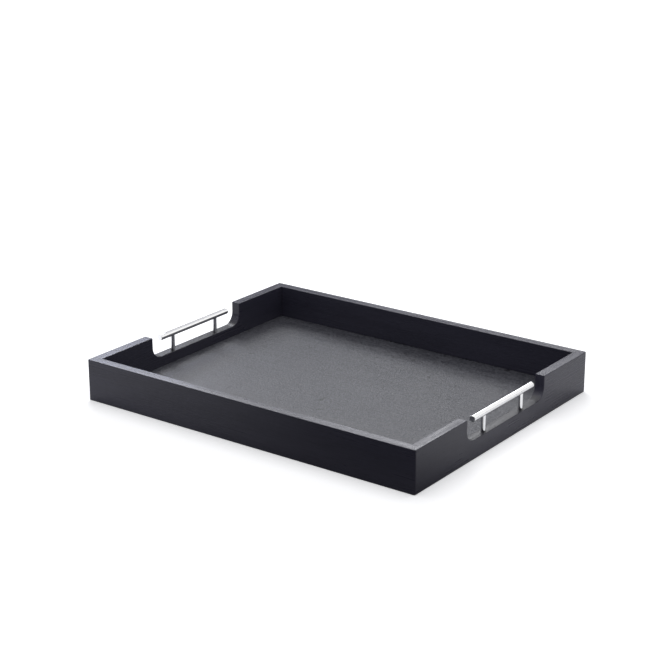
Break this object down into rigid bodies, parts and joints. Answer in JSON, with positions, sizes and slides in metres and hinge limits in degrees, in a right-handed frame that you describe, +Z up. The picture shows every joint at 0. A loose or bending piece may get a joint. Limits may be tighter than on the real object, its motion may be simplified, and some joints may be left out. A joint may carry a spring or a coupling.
{
  "type": "butler's tray",
  "caption": "Shallow rectangular wooden serving tray with mitred black sides, a panel floor, and polished steel bar handles standing in wide notches in the short ends.",
  "frame": {"origin": "centre of the footprint, on the surface that the tray stands on", "axes": "+X along the long side, towards the right handle; +Y along the short side, towards the back; +Z up"},
  "size_m": [0.49, 0.392, 0.054],
  "materials": {
    "stained_board": "satin black stain over fine open grain",
    "stained_panel": "satin black stain over fine open grain",
    "spline_wood": "bare planed beech",
    "polished_steel": "polished stainless steel",
    "plated_steel": "zinc-plated steel"
  },
  "bodies": {
    "root": {"front_rail": "stained_board", "back_rail": "stained_board", "left_end_board": "stained_board", "right_end_board": "stained_board", "base_panel": "stained_panel", "corner_spline_front_left": "spline_wood", "corner_spline_front_right": "spline_wood", "corner_spline_back_left": "spline_wood", "corner_spline_back_right": "spline_wood", "left_handle_bar": "polished_steel", "left_handle_post_front": "polished_steel", "left_handle_post_back": "polished_steel", "left_handle_stud_front": "plated_steel", "left_handle_stud_back": "plated_steel", "left_handle_screw_front": "plated_steel", "left_handle_screw_back": "plated_steel", "left_handle_washer_front": "plated_steel", "left_handle_washer_back": "plated_steel", "right_handle_bar": "polished_steel", "right_handle_post_front": "polished_steel", "right_handle_post_back": "polished_steel", "right_handle_stud_front": "plated_steel", "right_handle_stud_back": "plated_steel", "right_handle_screw_front": "plated_steel", "right_handle_screw_back": "plated_steel", "right_handle_washer_front": "plated_steel", "right_handle_washer_back": "plated_steel"}
  },
  "joints": []
}
